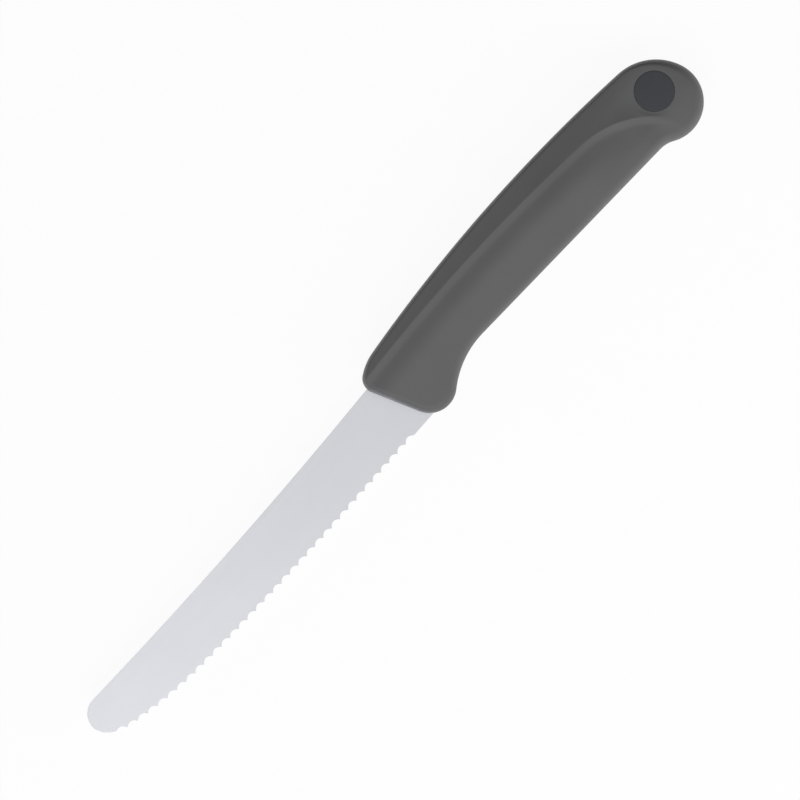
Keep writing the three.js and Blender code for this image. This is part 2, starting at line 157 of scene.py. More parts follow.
def handleArcs():
    shape = handleShape
    lean = math.radians(shape["frontLean"])
    underAlong = towards(-shape["underSlope"])
    underNormal = -90 - shape["underSlope"]

    # centre, at a given height, of a circle that touches the front face from inside
    def frontCentre(radius, height):
        return complex((radius - height * math.sin(lean)) / math.cos(lean), height)

    # a point a given depth below the straight lower edge
    def underLine(depth):
        return -1j * shape["underDepth"] + depth * towards(underNormal)

    guardCentre = frontCentre(shape["guardRadius"], shape["guardRadius"] - shape["guardDepth"])
    hollowReach = shape["hollowRadius"] + shape["guardRadius"]
    hollowCentre = alongLine(underLine(shape["hollowRadius"]), underAlong, guardCentre, hollowReach, True)
    buttCentre = complex(shape["length"] - shape["buttRadius"], shape["buttRise"])
    notchReach = shape["notchRadius"] + shape["buttRadius"]
    notchCentre = alongLine(underLine(shape["notchRadius"]), underAlong, buttCentre, notchReach, False)
    cornerCentre = frontCentre(shape["cornerRadius"], shape["cornerHeight"])
    # the spine from its chord and its bow
    spineFront = complex(cornerCentre.real, shape["spineFront"])
    spineButt = complex(buttCentre.real, shape["spineButt"])
    spineRadius = abs(spineButt - spineFront) ** 2 / (8 * shape["spineBow"]) + shape["spineBow"] / 2
    spineCentre = apex(spineButt, spineRadius, spineFront, spineRadius)
    topRadius = shape["buttRadius"] + shape["buttFlare"]
    topCentre = apex(spineCentre, spineRadius - topRadius, buttCentre, shape["buttFlare"])
    shoulderInside = shape["shoulderRadius"] - shape["cornerRadius"]
    shoulderReach = spineRadius - shape["shoulderRadius"]
    shoulderCentre = apex(cornerCentre, shoulderInside, spineCentre, shoulderReach)
    return {
        "guard": arc(guardCentre, shape["guardRadius"]),
        "hollow": arc(hollowCentre, -shape["hollowRadius"], leave=underNormal),
        "notch": arc(notchCentre, -shape["notchRadius"]),
        "butt": arc(buttCentre, shape["buttRadius"]),
        "buttTop": arc(topCentre, topRadius),
        "spine": arc(spineCentre, spineRadius),
        "shoulder": arc(shoulderCentre, shape["shoulderRadius"]),
        "corner": arc(cornerCentre, shape["cornerRadius"], leave=180 + shape["frontLean"]),
    }


inlay = {
    "radius": 5.05,
    "fromButt": 9.81,
    "rise": 3.73,
    "thickness": 1.2,
    "edgeRound": 0.12,
    "edgeSteps": 5,
    "gap": 0.035,  # open joint round the inlay
    "pocketLead": 0.084,  # bevel round the mouth of its pocket
    "cutterRise": 0.168,  # the pocket's cutter stands above the side by this
    "crown": 0.12,  # rise of its face from the rim to the middle
    "crownRings": (0.9, 0.75, 0.55, 0.35, 0.15, 0),  # shares of its radius
    "segments": 160,
    "sharpAngle": 40,  # degrees
}
inlayCentre = complex(handleShape["length"] - inlay["fromButt"], inlay["rise"])

# the drawing's origin in the frame, from the inlay's and the blade's boxes
inlayLow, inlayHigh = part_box("end_disc")
bladeLow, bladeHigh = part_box("blade")
drawingOrigin = Vector((
    (inlayLow.x + inlayHigh.x) / 2 - inlayCentre.real * mm,
    (inlayLow.y + inlayHigh.y) / 2 - inlayCentre.imag * mm,
    (bladeLow.z + bladeHigh.z) / 2,
))


# Sides of the handle, mm out from the middle plane. Slopes are falls per mm, away from the crease.
sideShape = {
    "halfThickness": 6.75,  # of the facet, where the handle is thickest
    "thickestAt": 60.0,
    "crownRadius": 1200.0,
    "creaseAt": 28.0,  # highest place of the crease
    "creaseHeight": 10.98,
    "creaseRadius": 480.0,
    "turnAhead": 31.75,  # the crease turns down this far ahead of the butt
    "turnRadius": 27.0,
    "creaseRound": 0.05,
    # pairs: along the handle and at the turn
    "ridge": (0.33, 0.95),  # the crease stands proud of the facet by this
    "lipSlope": (0.15, 0.3),
    "ridgeReach": (3.0, 4.5),
    "valleySlope": (-0.11, 0.03),
    "turnBlendAhead": 38.0,
    "turnBlendLength": 20.0,
    "facetSlope": 0.18,
    "lipEnd": 1.1,
    "lipFade": 1.5,
    "bellyStart": 3.2,
    "bellyWidth": 5.4,
    "bellySlope": (0.18, 0.26),  # at the front and farther back
    "bellyGrowth": 30.0,
    "ridgeFadeAhead": 21.5,  # the ridge fades from here ahead of the butt
    "ridgeFadeLength": 10.5,
    "lipFadeAhead": 17.0,  # and then its lip
    "lipFadeLength": 6.5,
    "buttBlendAhead": 50.0,  # the side turns into the butt's dome from here
    "buttBlendLength": 36.0,
    "domeSlope": 0.2,  # of the dome's outer part
    "domeBend": 2.0,  # it bends down to that slope over about this
    "landMargin": 0.15,  # flat land round the inlay
    "landBlend": 1.2,
}
creaseCentre = complex(sideShape["creaseAt"], sideShape["creaseHeight"] - sideShape["creaseRadius"])
turnAt = handleShape["length"] - sideShape["turnAhead"]
turnSine = (turnAt - sideShape["creaseAt"]) / sideShape["creaseRadius"]
turnNormal = 1j * cmath.rect(1, -math.asin(turnSine))
turnCentre = creaseCentre + turnNormal * (sideShape["creaseRadius"] - sideShape["turnRadius"])


def smooth(x, low, high):
    t = np.clip((x - low) / (high - low), 0, 1)
    return t * t * (3 - 2 * t)


# integral of smooth() from its low end
def smoothSum(x, low, width):
    t = np.clip((x - low) / width, 0, 1)
    return width * (t**3 - t**4 / 2) + np.maximum(x - low - width, 0)


def mix(a, b, share):
    return a + (b - a) * share


# distance below the crease, negative above it
def belowCrease(points):
    offset = points - turnCentre
    pastTurn = (offset.conjugate() * turnNormal).imag > 0
    turned = sideShape["turnRadius"] - np.abs(offset)
    return np.where(pastTurn, turned, sideShape["creaseRadius"] - np.abs(points - creaseCentre))


def lengthwise(x):
    fall = (x - sideShape["thickestAt"]) ** 2 / (2 * sideShape["crownRadius"])
    return sideShape["halfThickness"] - fall


# share that grows from a place ahead of the butt
def sinceAhead(points, ahead, length):
    start = handleShape["length"] - ahead
    return smooth(points.real, start, start + length)


landRadius = inlay["radius"] + sideShape["landMargin"]
landHeight = lengthwise(inlayCentre.real)


# facet above the crease and belly below it, which turn into the butt's dome
def broadSide(points):
    shape = sideShape
    below = belowCrease(points)
    side = lengthwise(points.real) + shape["facetSlope"] * np.minimum(below, 0)
    bellySlope = mix(*shape["bellySlope"], smooth(points.real, 0, shape["bellyGrowth"]))
    side -= bellySlope * smoothSum(below, shape["bellyStart"], shape["bellyWidth"])
    offset = points - inlayCentre
    beyondLand = np.maximum(np.hypot(np.maximum(offset.real, 0), offset.imag) - landRadius, 0)
    fallen = np.hypot(beyondLand, shape["domeBend"]) - shape["domeBend"]
    dome = landHeight - shape["domeSlope"] * fallen
    return mix(side, dome, sinceAhead(points, shape["buttBlendAhead"], shape["buttBlendLength"]))


# hollow rise to the crease, its lip and the valley under it, fading towards the butt
def creaseRelief(points):
    shape = sideShape
    below = belowCrease(points)
    turning = sinceAhead(points, shape["turnBlendAhead"], shape["turnBlendLength"])
    pairs = [shape[key] for key in ("ridge", "ridgeReach", "lipSlope", "valleySlope")]
    ridge, reach, lipSlope, valleySlope = (mix(along, atTurn, turning) for along, atTurn in pairs)
    ridge *= 1 - sinceAhead(points, shape["ridgeFadeAhead"], shape["ridgeFadeLength"])
    lipShown = 1 - sinceAhead(points, shape["lipFadeAhead"], shape["lipFadeLength"])
    lipSlope, valleySlope = lipSlope * lipShown, valleySlope * lipShown
    rise = ridge * (np.exp(np.minimum(below, 0) / reach) + np.maximum(below, 0) / reach)
    lip = lipSlope * below + (valleySlope - lipSlope) * smoothSum(below, shape["lipEnd"], shape["lipFade"])
    fall = ridge - lip + valleySlope * smoothSum(below, shape["bellyStart"], shape["bellyWidth"])
    rounding = np.maximum(shape["creaseRound"] - np.abs(rise - fall), 0) ** 2 / (4 * shape["creaseRound"])
    return np.minimum(rise, fall) - rounding


# the whole side, with a flat land round the inlay
def sideHeight(points):
    leave = smooth(np.abs(points - inlayCentre), landRadius, landRadius + sideShape["landBlend"])
    return mix(landHeight, broadSide(points) + creaseRelief(points), leave)


# Mesh helpers


# points of the drawing in the frame, at one height or at one each
def placed(points, heights):
    heights = np.broadcast_to(heights, len(points))
    return np.column_stack([points.real, points.imag, heights]) * mm + np.array(drawingOrigin)


def linked(name, data):
    thing = bpy.data.objects.new(name, data)
    bpy.context.scene.collection.objects.link(thing)
    return thing


def makeObject(name, vertices, faces, smoothFaces=True):
    mesh = bpy.data.meshes.new(name)
    mesh.from_pydata([tuple(v) for v in vertices], [], faces)
    mesh.validate()
    mesh.update()
    mesh.polygons.foreach_set("use_smooth", [smoothFaces] * len(mesh.polygons))
    return linked(name, mesh)


def roundSteps(segments):
    return np.exp(1j * fullTurn * np.arange(segments) / segments)


# a plate of the given outline, centred on the middle plane
def makePlate(name, points, thickness):
    count = len(points)
    vertices = np.concatenate([placed(points, z) for z in (-thickness / 2, thickness / 2)])
    faces = [(i, (i + 1) % count, (i + 1) % count + count, i + count) for i in range(count)]
    faces += [tuple(range(count - 1, -1, -1)), tuple(range(count, 2 * count))]
    return makeObject(name, vertices, faces, False)


# a round piece about the inlay's centre, from (radius, height) pairs that start and end on the axis
def makeRound(name, profile, segments):
    rings = [(r, z) for r, z in profile if r > 0]
    vertices = [placed(inlayCentre + r * roundSteps(segments), z) for r, z in rings]
    caps = placed(np.array([inlayCentre, inlayCentre]), [profile[0][1], profile[-1][1]])
    bottom, top = len(rings) * segments, len(rings) * segments + 1
    last = (len(rings) - 1) * segments
    faces = []
    for first in range(0, last, segments):
        for i in range(segments):
            here, after = first + i, first + (i + 1) % segments
            faces.append((here, after, after + segments, here + segments))
    for i in range(segments):
        k = (i + 1) % segments
        faces.append((bottom, k, i))
        faces.append((top, last + i, last + k))
    return makeObject(name, np.concatenate(vertices + [caps]), faces)


def cutAway(piece, cutter):
    cut = piece.modifiers.new("cut", "BOOLEAN")
    cut.operation = "DIFFERENCE"
    cut.solver = "EXACT"
    cut.object = cutter
    bpy.context.view_layer.update()
    done = bpy.data.meshes.new_from_object(piece.evaluated_get(bpy.context.evaluated_depsgraph_get()))
    piece.modifiers.clear()
    old = piece.data
    piece.data = done
    bpy.data.meshes.remove(old)
    bpy.data.objects.remove(cutter)


# Blade: loops of its outline, from the plain face down to the ground one
bladeShape = {
    "length": 110.57,
    "spineHeight": 8.43,  # at the handle, above the middle line
    "edgeDepth": 8.06,  # and below it
    "thickness": 1.2,
    "spineHollow": 1350.0,
    "tipRadius": 4.91,
    "tipRise": 3.43,
    "edgeStraight": 30.6,
    "edgeRadius": 891.0,
    "sweepStart": 81.63,  # from the handle
    "sweepRadius": 110.4,
    "chinRadius": 12.8,  # between the sweep and the tip
    "shoulderDepth": 6.0,
    "heelRadius": 3.0,
    "spineCornerRadius": 1.5,
    "tangLength": 72.0,
    "tangHeight": 8.0,
    "tangEndHeight": 6.0,
    "tangRise": 3.6,
    "tangFillet": 1.0,
    "holeRadius": 2.0,
    "holeFirst": 27.0,
    "holePitch": 28.0,
    "holeSegments": 64,
    "scallopPitch": 3.08,
    "scallopDepth": 0.88,
    "toothLand": 0.1,
    "grindHeight": 2.5,
    "heelPlain": 3.5,
    "scallopEnd": 235.43,  # degrees round the chin
    "edgeRound": 0.07,
    "edgeSteps": 4,
    "wallSteps": 3,
    "scallopSteps": 22,
    "fineness": 0.14,  # between points beside the teeth
    "finePitches": 5,  # for this many pitches
    "coarseness": 0.9,  # and elsewhere
    "sharpAngle": 40,  # degrees
}
levelWithin = 1e-7  # m, for points on the blade's flat faces
flatNormal = 0.9999  # faces that look up or down more than this are flat


# round the tip, along the edge, up the shoulder, round the tang and back along the spine
def bladeArcs():
    shape = bladeShape
    lean = handleShape["frontLean"]
    out = towards(lean)
    tipCentre = complex(shape["tipRadius"] - shape["length"], shape["tipRise"])
    edgeCentre = complex(-shape["edgeStraight"], shape["edgeRadius"] - shape["edgeDepth"])
    bend = math.degrees(math.asin((shape["sweepStart"] - shape["edgeStraight"]) / shape["edgeRadius"]))
    sweepCentre = edgeCentre + towards(-90 - bend) * (shape["edgeRadius"] - shape["sweepRadius"])
    chinReach = shape["sweepRadius"] - shape["chinRadius"]
    chinCentre = apex(sweepCentre, chinReach, tipCentre, shape["chinRadius"] - shape["tipRadius"])
    heelY = shape["heelRadius"] - shape["edgeDepth"]
    heelX = (shape["shoulderDepth"] - shape["heelRadius"] - heelY * out.imag) / out.real
    spineReach = shape["spineHollow"] + shape["tipRadius"]
    spineCentre = apex(tipCentre, spineReach, 1j * shape["spineHeight"], shape["spineHollow"])
    shoulder = out * (shape["shoulderDepth"] - shape["spineCornerRadius"])
    cornerReach = shape["spineHollow"] + shape["spineCornerRadius"]
    cornerCentre = alongLine(shoulder, 1j * out, spineCentre, cornerReach, False)
    # the tang is a taper with a round end and a fillet on each side of its root
    rootRadius, endRadius = shape["tangHeight"] / 2, shape["tangEndHeight"] / 2
    root = 1j * shape["tangRise"]
    endCentre = root + shape["tangLength"] - endRadius
    taper = math.degrees(math.asin((rootRadius - endRadius) / endCentre.real))

    def filletCentre(normal):
        side = towards(normal)
        shoulderLine, sideLine = (out * shape["shoulderDepth"], out), (root + side * rootRadius, side)
        return insideCorner(shoulderLine, sideLine, shape["tangFillet"])

    return {
        "tip": arc(tipCentre, shape["tipRadius"]),
        "chin": arc(chinCentre, shape["chinRadius"]),
        "sweep": arc(sweepCentre, shape["sweepRadius"]),
        "edge": arc(edgeCentre, shape["edgeRadius"], leave=-90),
        "heel": arc(complex(heelX, heelY), shape["heelRadius"], leave=lean),
        "lowFillet": arc(filletCentre(taper - 90), -shape["tangFillet"], leave=taper - 90),
        "tangEnd": arc(endCentre, endRadius, leave=90 - taper),
        "highFillet": arc(filletCentre(90 - taper), -shape["tangFillet"], leave=lean),
        "corner": arc(cornerCentre, shape["spineCornerRadius"]),
        "spine": arc(spineCentre, -shape["spineHollow"]),
    }


# where the scallops end near the tip and start near the heel, and how many there are
def scallopRun(line):
    end = line.placeOf("chin", bladeShape["scallopEnd"])
    heelCorner = line.placeOf("heel", -90)
    heelReach = line.at([heelCorner])[0][0].real + bladeShape["heelPlain"]
    start = heelCorner - heelReach
    return end, start, round((start - end) / bladeShape["scallopPitch"])


# every scallop gets the same places, close together, and they are wider away from the teeth
def bladePlaces(line, end, start, count):
    shape = bladeShape
    pitch = (start - end) / count
    cut = (pitch - shape["toothLand"]) / 2
    oneScallop = np.append(-pitch / 2, np.linspace(-cut, cut, shape["scallopSteps"]))
    teeth = start - ((np.arange(count) + 0.5)[:, None] * pitch + oneScallop).ravel()[::-1]
    margin = shape["finePitches"] * pitch
    tip = np.arange(end - margin, end, shape["fineness"])
    heel = np.arange(start, start + margin, shape["fineness"])[1:]
    rest = np.arange(heel[-1], line.length + tip[0], shape["coarseness"])[1:]
    return np.concatenate([tip, teeth, heel, rest])


# heights of the loops, with the insets of the broken edges
def bladeLayers():
    shape = bladeShape
    bend = np.linspace(0, quarterTurn, shape["edgeSteps"] + 1)
    upper = shape["thickness"] / 2 - shape["edgeRound"] * (1 - np.cos(bend))
    wall = np.linspace(upper[-1], -upper[-1], shape["wallSteps"] + 1)[1:-1]
    broken = shape["edgeRound"] * (1 - np.sin(bend))
    heights = np.concatenate([upper, wall, -upper[::-1]])
    return heights, np.concatenate([broken, np.zeros(len(wall)), broken[::-1]])


# how far the grinding reaches in from the tooth line: rows are heights, columns places along it
def grindInset(along, heights, count, pitch):
    shape = bladeShape
    slope = math.atan2(shape["thickness"], shape["grindHeight"])
    sag = shape["scallopDepth"] * math.sin(slope)
    radius = ((shape["scallopPitch"] - shape["toothLand"]) ** 2 / 4 + sag**2) / (2 * sag)
    nearest = np.clip(np.floor(along / pitch), 0, count - 1)
    offset = np.minimum(np.abs(along - (nearest + 0.5) * pitch), radius)
    profile = shape["scallopDepth"] - (radius - np.sqrt(radius**2 - offset**2)) / math.sin(slope)
    deeper = (shape["thickness"] / 2 - heights) / math.tan(slope)
    return np.maximum(profile[None, :] + deeper[:, None], 0)


# a band of faces between two loops of vertices
def bridge(mesh, first, second, smoothFaces):
    for i in range(len(first)):
        j = (i + 1) % len(first)
        mesh.faces.new((first[i], second[i], second[j], first[j])).smooth = smoothFaces


def makeBlade():
    shape = bladeShape
    half = shape["thickness"] / 2
    line = Outline(bladeArcs(), fitWithin)
    end, start, count = scallopRun(line)
    places = bladePlaces(line, end, start, count)
    points, normals = line.at(places)
    heights, broken = bladeLayers()
    insets = np.maximum(broken[:, None], grindInset(start - places, heights, count, (start - end) / count))

    mesh = bmesh.new()
    loops = []
    for inset, height in zip(insets, heights):
        loops.append([mesh.verts.new(v) for v in placed(points - normals * inset, height)])
    for x in (shape["holeFirst"], shape["holeFirst"] + shape["holePitch"]):
        hole = complex(x, shape["tangRise"]) + roundSteps(shape["holeSegments"]) * shape["holeRadius"]
        rims = [[mesh.verts.new(v) for v in placed(hole, z)] for z in (half, -half)]
        bridge(mesh, *rims, False)
    for upper, lower in zip(loops, loops[1:]):
        bridge(mesh, upper, lower, True)
    # flat faces, with the tang's holes left open
    for z in (half, -half):
        level = drawingOrigin.z + z * mm
        flat = {v for v in mesh.verts if abs(v.co.z - level) < levelWithin}
        rim = [edge for edge in mesh.edges if edge.is_boundary and flat.issuperset(edge.verts)]
        bmesh.ops.triangle_fill(mesh, edges=rim, use_beauty=True, normal=(0, 0, math.copysign(1, z)))
    bmesh.ops.recalc_face_normals(mesh, faces=mesh.faces)
    data = bpy.data.meshes.new("bladeSheet")
    mesh.to_mesh(data)
    mesh.free()
    data.set_sharp_from_angle(angle=math.radians(shape["sharpAngle"]))
    data.polygons.foreach_set("use_smooth", [abs(face.normal.z) < flatNormal for face in data.polygons])
    print("blade:", count, "scallops,", len(data.polygons), "faces")
    return linked("bladeSheet", data)


# Grip: a four-cornered patch of ribs on each side, with a rounded rim round it
gripMesh = {
    "spineRim": 1.1,  # widths of the rounded rim
    "buttRim": 2.5,
    "lowerRim": 2.2,
    "frontRim": 1.7,
    "rimPower": 2.6,  # 2 is a plain ellipse, more eases it into the side
    "guardCorner": 245,  # the patch's corners, as degrees round the arcs that they are on
    "buttCorner": 45,  # above and below
    "frontCorner": 120,
    "ribs": 230,
    "aboveCrease": 16,
    "belowCrease": 44,
    "rimSteps": 12,
    "leastSteps": 4,
    "crowding": 1.5,  # towards the crease
    "trials": 801,  # places tried on each rib to find the crease
    "meetLimits": (0.03, 0.72),  # shares of a rib
    "softenFrom": 0.7,  # ribs that meet the crease this low are evened out
    "softenRibs": 13,
    "wall": 2.5,
    "cavityRim": 0.6,  # share of the outer rim's width
    "cavityShare": 0.35,  # fineness of the hidden hollow
    "slotGap": 0.03,  # round the blade
    "slotStep": 0.2,
    "sharpAngle": 35,  # degrees
}


# width of the rounded rim where the outline faces given ways
def rimWidth(normals):
    level = np.where(normals.real > 0, gripMesh["buttRim"], gripMesh["frontRim"])
    upright = np.where(normals.imag > 0, gripMesh["spineRim"], gripMesh["lowerRim"])
    return level * normals.real**2 + upright * normals.imag**2


# shares down each rib, crowded towards the place where it meets the crease
def ribShares(patch, ribs, above, below):
    grip = gripMesh
    trial = np.linspace(0, 1, grip["trials"])
    meets = []
    for rib in range(ribs + 1):
        past = belowCrease(patch(rib, trial)) > 0
        past[-1] = True  # for a rib that never meets it
        meets.append(trial[np.argmax(past)])
    meets = np.clip(meets, *grip["meetLimits"])
    padded = np.pad(meets, grip["softenRibs"] // 2, mode="edge")
    softened = np.convolve(padded, np.ones(grip["softenRibs"]) / grip["softenRibs"], mode="valid")
    meets = np.where(meets < grip["softenFrom"], meets, softened)
    upper = 1 - (1 - np.linspace(0, 1, above + 1)) ** grip["crowding"]
    lower = np.linspace(0, 1, below + 1)[1:] ** grip["crowding"]
    return [np.concatenate([meet * upper, meet + (1 - meet) * lower]) for meet in meets]


# faces of the patch and of the rings round it
def skinFaces(ribs, across, rings):
    faces = []
    for rib in range(ribs):
        for k in range(across):
            first = rib * (across + 1) + k
            faces.append((first, first + 1, first + across + 2, first + across + 1))
    for inside, outside in zip(rings, rings[1:]):
        for i in range(len(inside)):
            j = (i + 1) % len(inside)
            faces.append((inside[i], outside[i], outside[j], inside[j]))
    return faces


def makeSkin(inset, rimShare, fineness):
    grip = gripMesh
    line = Outline(handleArcs(), inset)
    wanted = [int(grip[key] * fineness) for key in ("ribs", "aboveCrease", "belowCrease", "rimSteps")]
    ribs, above, below, steps = (max(grip["leastSteps"], number) for number in wanted)
    across = above + below
    guardPlace = line.placeOf("guard", grip["guardCorner"]) + line.length
    buttLow, buttHigh = line.placeOf("butt", -grip["buttCorner"]), line.placeOf("butt", grip["buttCorner"])
    frontTop = line.placeOf("corner", grip["frontCorner"])
    alongShares = np.linspace(0, 1, ribs + 1)

    # inner edge of the rim, with the outline's normals and the rim's widths there
    def rimAt(first, last, shares):
        points, normals = line.at(mix(first, last, shares))
        widths = rimWidth(normals) * rimShare
        return points - normals * widths, normals, widths

    topPoints, topNormals, topWidths = rimAt(frontTop, buttHigh, alongShares)
    lowPoints, lowNormals, lowWidths = rimAt(guardPlace, buttLow + line.length, alongShares)

    # points down a rib, filled in between the four edges
    def patch(rib, shares):
        along = alongShares[rib]
        frontPoints = rimAt(frontTop, guardPlace, shares)[0]
        buttPoints = rimAt(buttHigh, buttLow, shares)[0]
        topFlat = mix(topPoints[0], topPoints[-1], along)
        lowFlat = mix(lowPoints[0], lowPoints[-1], along)
        down = mix(topPoints[rib], lowPoints[rib], shares)
        return down + mix(frontPoints, buttPoints, along) - mix(topFlat, lowFlat, shares)

    shares = ribShares(patch, ribs, above, below)
    grid = np.array([patch(rib, shares[rib]) for rib in range(ribs + 1)])

    # the loop round the patch, counter-clockwise, with its normals
    _, frontNormals, frontWidths = rimAt(frontTop, guardPlace, shares[0])
    _, buttNormals, buttWidths = rimAt(buttHigh, buttLow, shares[-1])
    loop = [(0, k) for k in range(across)] + [(rib, across) for rib in range(ribs)]
    loop += [(ribs, k) for k in range(across, 0, -1)] + [(rib, 0) for rib in range(ribs, 0, -1)]

    def roundLoop(front, low, butt, top):
        return np.concatenate([front[:-1], low[:-1], butt[:0:-1], top[:0:-1]])

    loopNormals = roundLoop(frontNormals, lowNormals, buttNormals, topNormals)
    loopWidths = roundLoop(frontWidths, lowWidths, buttWidths, topWidths)
    loopPoints = np.array([grid[rib, k] for rib, k in loop])

    # the rim bends from the patch out to the middle plane
    count = len(loop)
    layers = [grid.ravel()]
    scales = [np.ones(grid.size)]
    for step in range(1, steps + 1):
        out = math.cos(quarterTurn * (1 - step / steps))
        layers.append(loopPoints + loopNormals * loopWidths * out)
        scales.append(np.full(count, math.sqrt(1 - out ** grip["rimPower"])))
    points = np.concatenate(layers)
    heights = (sideHeight(points) - inset) * np.concatenate(scales)
    rings = [[rib * (across + 1) + k for rib, k in loop]]
    rings += [range(first, first + count) for first in range(grid.size, len(points), count)]
    faces = skinFaces(ribs, across, rings)
    # the other side is the same, mirrored, and shares the outermost ring
    shared = len(points) - count
    mirrored = [tuple(v + len(points) if v < shared else v for v in reversed(face)) for face in faces]
    vertices = np.concatenate([placed(points, heights), placed(points[:shared], -heights[:shared])])
    return vertices, faces + mirrored


def makeGrip():
    grip = gripMesh
    vertices, faces = makeSkin(inset=fitWithin, rimShare=1, fineness=1)
    hollow, hollowFaces = makeSkin(grip["wall"], grip["cavityRim"], grip["cavityShare"])
    faces = faces + [tuple(v + len(vertices) for v in reversed(face)) for face in hollowFaces]
    piece = makeObject("gripMoulding", np.concatenate([vertices, hollow]), faces)
    slot = Outline(bladeArcs(), -grip["slotGap"], grip["slotStep"])
    cutAway(piece, makePlate("slotCutter", slot.points[:-1], bladeShape["thickness"] + 2 * grip["slotGap"]))
    # the inlay's pocket, with a bevel that goes on above the side
    radius, lead, rise = inlay["radius"] + inlay["gap"], inlay["pocketLead"], inlay["cutterRise"]
    floor, mouth = landHeight - inlay["thickness"] - inlay["gap"], landHeight - lead
    above = landHeight + rise
    pocket = [(0, floor), (radius, floor), (radius, mouth), (radius + lead + rise, above), (0, above)]
    cutAway(piece, makeRound("pocketCutter", pocket, inlay["segments"]))
    piece.data.polygons.foreach_set("use_smooth", [True] * len(piece.data.polygons))
    piece.data.set_sharp_from_angle(angle=math.radians(grip["sharpAngle"]))
    print("grip:", len(piece.data.polygons), "faces")
    return piece


def makeInlay():
    radius, edge, floor = inlay["radius"], inlay["edgeRound"], landHeight - inlay["thickness"]
    profile = [(0, floor), (radius, floor)]
    for bend in np.linspace(0, quarterTurn, inlay["edgeSteps"] + 1):
        profile.append((radius - edge * (1 - math.cos(bend)), landHeight - edge * (1 - math.sin(bend))))
    for share in inlay["crownRings"]:
        profile.append(((radius - edge) * share, landHeight + inlay["crown"] * (1 - share**2)))
    piece = makeRound("endInlay", profile, inlay["segments"])
    piece.data.set_sharp_from_angle(angle=math.radians(inlay["sharpAngle"]))
    print("inlay:", len(piece.data.polygons), "faces")
    return piece


# Materials
noiseLow, noiseHigh = 0.25, 0.75  # most of a noise texture lies between these


class Finish:
    def __init__(self, name, **settings):
        self.material = bpy.data.materials.new(name)
        self.material.use_nodes = True
        self.nodes = self.material.node_tree.nodes
        self.links = self.material.node_tree.links
        self.nodes.clear()
        self.shader = self.add("ShaderNodeBsdfPrincipled", **settings)
        output = self.nodes.new("ShaderNodeOutputMaterial")
        self.links.new(self.shader.outputs[0], output.inputs["Surface"])

    # inputs are given by name, as values or as sockets to link
    def add(self, kind, **inputs):
        node = self.nodes.new(kind)
        self.feed(node, **inputs)
        return node

    def feed(self, node, **inputs):
        for key, value in inputs.items():
            socket = node.inputs[key.replace("_", " ")]
            if isinstance(value, bpy.types.NodeSocket):
                self.links.new(value, socket)
            else:
                socket.default_value = value

    # noise in the piece's own space, stretched by three scales per metre
    def noise(self, scales, detail, roughness=0.5):
        place = self.nodes.new("ShaderNodeTexCoord").outputs["Object"]
        stretched = self.add("ShaderNodeMapping", Vector=place, Scale=scales).outputs[0]
        settings = {"Scale": 1.0, "Detail": detail, "Roughness": roughness}
        return self.add("ShaderNodeTexNoise", Vector=stretched, **settings).outputs["Fac"]

    # base colour that drifts by a share about its middle value
    def tint(self, noise, colour, drift):
        ramp = self.add("ShaderNodeValToRGB", Fac=noise)
        ends = ((noiseLow, 1 - drift), (noiseHigh, 1 + drift))
        for element, (position, share) in zip(ramp.color_ramp.elements, ends):
            element.position = position
            element.color = (*(c * share for c in colour), 1)
        self.feed(self.shader, Base_Color=ramp.outputs["Color"])

    def roughen(self, noise, middle, drift):
        node = self.add(
            "ShaderNodeMapRange", Value=noise, From_Min=noiseLow, From_Max=noiseHigh,
            To_Min=middle - drift, To_Max=middle + drift,
        )
        self.feed(self.shader, Roughness=node.outputs["Result"])

    def bump(self, noise, strength, depth):
        node = self.add("ShaderNodeBump", Height=noise, Strength=strength, Distance=depth)
        self.feed(self.shader, Normal=node.outputs["Normal"])


# scales are per metre and depths in m
gripPlastic = {
    "colour": (0.118, 0.118, 0.121),
    "colourDrift": 0.03,
    "roughness": 0.54,
    "roughnessDrift": 0.05,
    "specular": 0.3,
    "cloud": 90.0,
    "cloudDetail": 3.0,
    "grain": 5200.0,
    "grainDetail": 1.5,
    "grainStrength": 0.25,
    "grainDepth": 0.00001,
}
inlayPlastic = {
    "colour": (0.052, 0.055, 0.061),
    "colourDrift": 0.04,
    "roughness": 0.5,
    "roughnessDrift": 0.05,
    "specular": 0.22,
    "cloud": 400.0,
    "cloudDetail": 3.0,
    "grain": 7000.0,
    "grainDetail": 1.5,
    "grainStrength": 0.2,
    "grainDepth": 0.000006,
}


# cloudy colour and a fine moulded grain
def makeGrainedPlastic(name, plastic):
    finish = Finish(name, Specular_IOR_Level=plastic["specular"])
    cloud = finish.noise((plastic["cloud"],) * 3, plastic["cloudDetail"])
    grain = finish.noise((plastic["grain"],) * 3, plastic["grainDetail"])
    finish.tint(cloud, plastic["colour"], plastic["colourDrift"])
    finish.roughen(grain, plastic["roughness"], plastic["roughnessDrift"])
    finish.bump(grain, plastic["grainStrength"], plastic["grainDepth"])
    return finish.material


corePlastic = {
    "colour": (0.045, 0.045, 0.047),
    "colourDrift": 0.1,
    "roughness": 0.55,
    "roughnessDrift": 0.06,
    "cloud": 300.0,
    "cloudDetail": 3.0,
    "cloudStrength": 0.15,
    "cloudDepth": 0.00002,
}


def makeCorePlastic():
    plastic = corePlastic
    finish = Finish("darkCore")
    cloud = finish.noise((plastic["cloud"],) * 3, plastic["cloudDetail"])
    finish.tint(cloud, plastic["colour"], plastic["colourDrift"])
    finish.roughen(cloud, plastic["roughness"], plastic["roughnessDrift"])
    finish.bump(cloud, plastic["cloudStrength"], plastic["cloudDepth"])
    return finish.material


